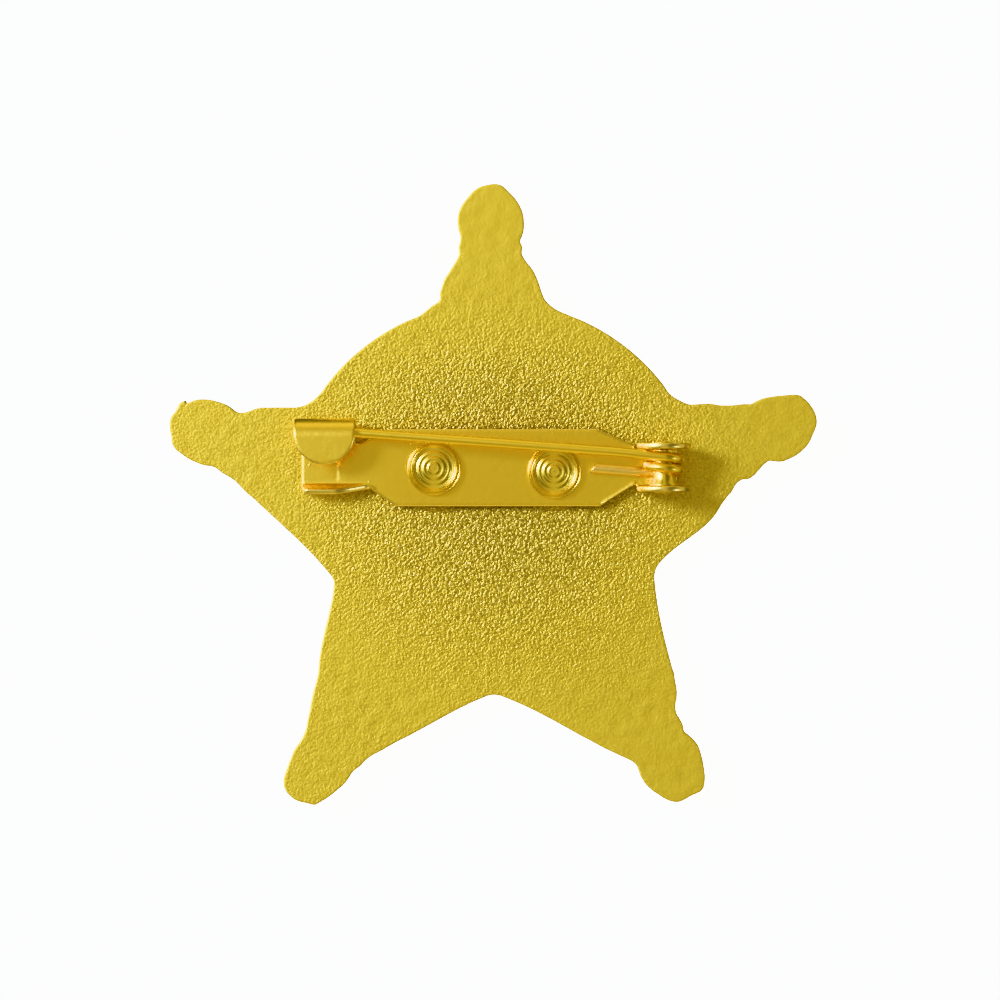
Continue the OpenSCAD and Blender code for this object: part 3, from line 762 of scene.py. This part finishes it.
def pin():
    """The pin: needle point, straight arm, an easy bend into the coil, and a turn and a quarter of the coil."""
    point_x = POINT_X + POINT_LEN * np.linspace(0, 1, 30) ** 1.6
    straight_x = np.linspace(POINT_X + POINT_LEN, 9.4, 70)[1:]
    coil = on_coil(np.arange(-3.7, SPRING_CUT, 4.5))
    arm = on_arm(np.concatenate([point_x, straight_x]))
    bend = bridge(arm[-1], arm[-1] - arm[-2], coil[0], coil[1] - coil[0], 22)[1:-1]
    path = np.vstack([arm, bend, coil])
    share = np.clip((path[:, 0] - POINT_X) / POINT_LEN, 0, 1)
    radius = np.where(path[:, 0] < POINT_X + POINT_LEN, 0.03 + (WIRE_R - 0.03) * share ** 0.8, WIRE_R)
    points, quads, triangles, values = swept_wire(path, radius, 28)
    return put_piece("pin_wire", points, quads, triangles, "pin", WIRE_GOLD, "pin_arm", values)


def tail():
    """The wire's other end: the coil's last stretch under the hinge and the straight tail, cut off aslant."""
    coil = on_coil(np.arange(SPRING_CUT + 0.4, COIL_END, 4.5))
    end = np.array([7.86, 4.3, HINGE[2] - COIL_R])
    last = on_coil(np.array([COIL_END]))[0]
    way = end - last
    straight = last + way * np.linspace(0.08, 1, 40)[:, None]
    path = np.vstack([coil, straight])
    points, quads, triangles, values = swept_wire(path, WIRE_R, 28, slant=-0.55)
    return put_piece("tail_wire", points, quads, triangles, "root", TAIL_GOLD, "spring_tail", values)


star_body()
bar_plate()
for rivet_name, rivet_centre in RIVETS.items():
    rivet(rivet_name, rivet_centre)
hinge_rivet()
pin()
tail()


# ---- Studio ----

def floor():
    """A plain white sheet under the badge, lit evenly from beneath as on a light table. The metal doesn't mirror
    it, which leaves its steep edges dark."""
    mesh = bpy.data.meshes.new("floor")
    mesh.from_pydata([(-3, -3, 0), (3, -3, 0), (3, 3, 0), (-3, 3, 0)], [], [(0, 1, 2, 3)])
    material = bpy.data.materials.new("white_paper")
    material.use_nodes = True
    tree = material.node_tree
    tree.nodes.clear()
    shader = add(tree, "ShaderNodeBsdfPrincipled", Base_Color=(0.15, 0.15, 0.15, 1.0), Roughness=0.9,
                 Emission_Color=(1.0, 1.0, 1.0, 1.0), Emission_Strength=3.6)
    add(tree, "ShaderNodeOutputMaterial", Surface=(shader, "BSDF"))
    mesh.materials.append(material)
    sheet = bpy.data.objects.new("floor", mesh)
    bpy.context.scene.collection.objects.link(sheet)
    sheet.visible_glossy = False


def softbox(name, azimuth, elevation, distance, width, height, radiance, colour):
    """A soft panel facing the badge from azimuth (from +X towards +Y) and elevation, both in degrees."""
    a, e = math.radians(azimuth), math.radians(elevation)
    place = distance * Vector((math.cos(a) * math.cos(e), math.sin(a) * math.cos(e), math.sin(e)))
    light = bpy.data.lights.new(name, "AREA")
    light.shape = "RECTANGLE"
    light.size, light.size_y = width, height
    light.energy = radiance * math.pi * width * height
    light.color = linear(colour)[:3]
    panel = bpy.data.objects.new(name, light)
    panel.location = place
    panel.rotation_euler = place.to_track_quat("Z", "Y").to_euler()
    bpy.context.scene.collection.objects.link(panel)


# Brightness of the tent's cloth, what a strip of lights behind it adds from the far side over the top to the near
# side, and what the low sides all round have besides. The cloth is warm, the lamps are cool
TENT_DIM = 0.12
TENT_STRIP = 0.48
TENT_LOW = 0.5
CLOTH_COLOUR = "#FFF6B4"
LAMP_COLOUR = "#DEF1FF"


def tent():
    """Cloth round the badge, lit from behind in a strip that runs up the far side, overhead and down the near
    side, and brighter all round up to 30 degrees. The ground beyond the paper is dark."""
    world = bpy.data.worlds.new("tent")
    world.use_nodes = True
    tree = world.node_tree
    tree.nodes.clear()
    way = add(tree, "ShaderNodeTexCoord")
    part = add(tree, "ShaderNodeSeparateXYZ", in_0=(way, "Generated"))
    strip = spread(tree, reckon(tree, "ABSOLUTE", (part, "X"), 0.0), 0.06, 0.33, TENT_DIM + TENT_STRIP, TENT_DIM)
    sky = reckon(tree, "ADD", strip, spread(tree, (part, "Z"), 0.6, 0.3, 0.0, TENT_LOW))
    strength = reckon(tree, "MULTIPLY", sky, spread(tree, (part, "Z"), -0.25, 0.0, 0.15, 1.0))
    cloth = add(tree, "ShaderNodeBackground", Color=linear(CLOTH_COLOUR), Strength=strength)
    add(tree, "ShaderNodeOutputWorld", Surface=(cloth, "Background"))
    bpy.context.scene.world = world


def studio():
    bpy.context.scene.view_settings.view_transform = "Khronos PBR Neutral"
    tent()
    softbox("key_left", 168, 22, 0.8, 0.3, 0.7, 7.0, LAMP_COLOUR)
    softbox("key_core", 156, 43, 0.75, 0.19, 0.19, 70.0, LAMP_COLOUR)
    softbox("panel_left", 172, 66, 0.9, 0.5, 0.3, 0.4, LAMP_COLOUR)
    softbox("lamp_right", -18, 34, 0.8, 0.18, 0.18, 6.0, LAMP_COLOUR)


def camera():
    """Straight above the badge, as in the photograph: 12.5 pixels of 1000 to the millimetre at the back's level,
    seen from 330 mm above it."""
    data = bpy.data.cameras.new("camera")
    data.sensor_width = 36.0
    data.lens = 148.5
    data.clip_start, data.clip_end = 0.01, 20.0
    eye = bpy.data.objects.new("camera", data)
    eye.location = (0.534 * MM, -0.450 * MM, 332.8 * MM)
    bpy.context.scene.collection.objects.link(eye)
    bpy.context.scene.camera = eye


floor()
studio()
camera()
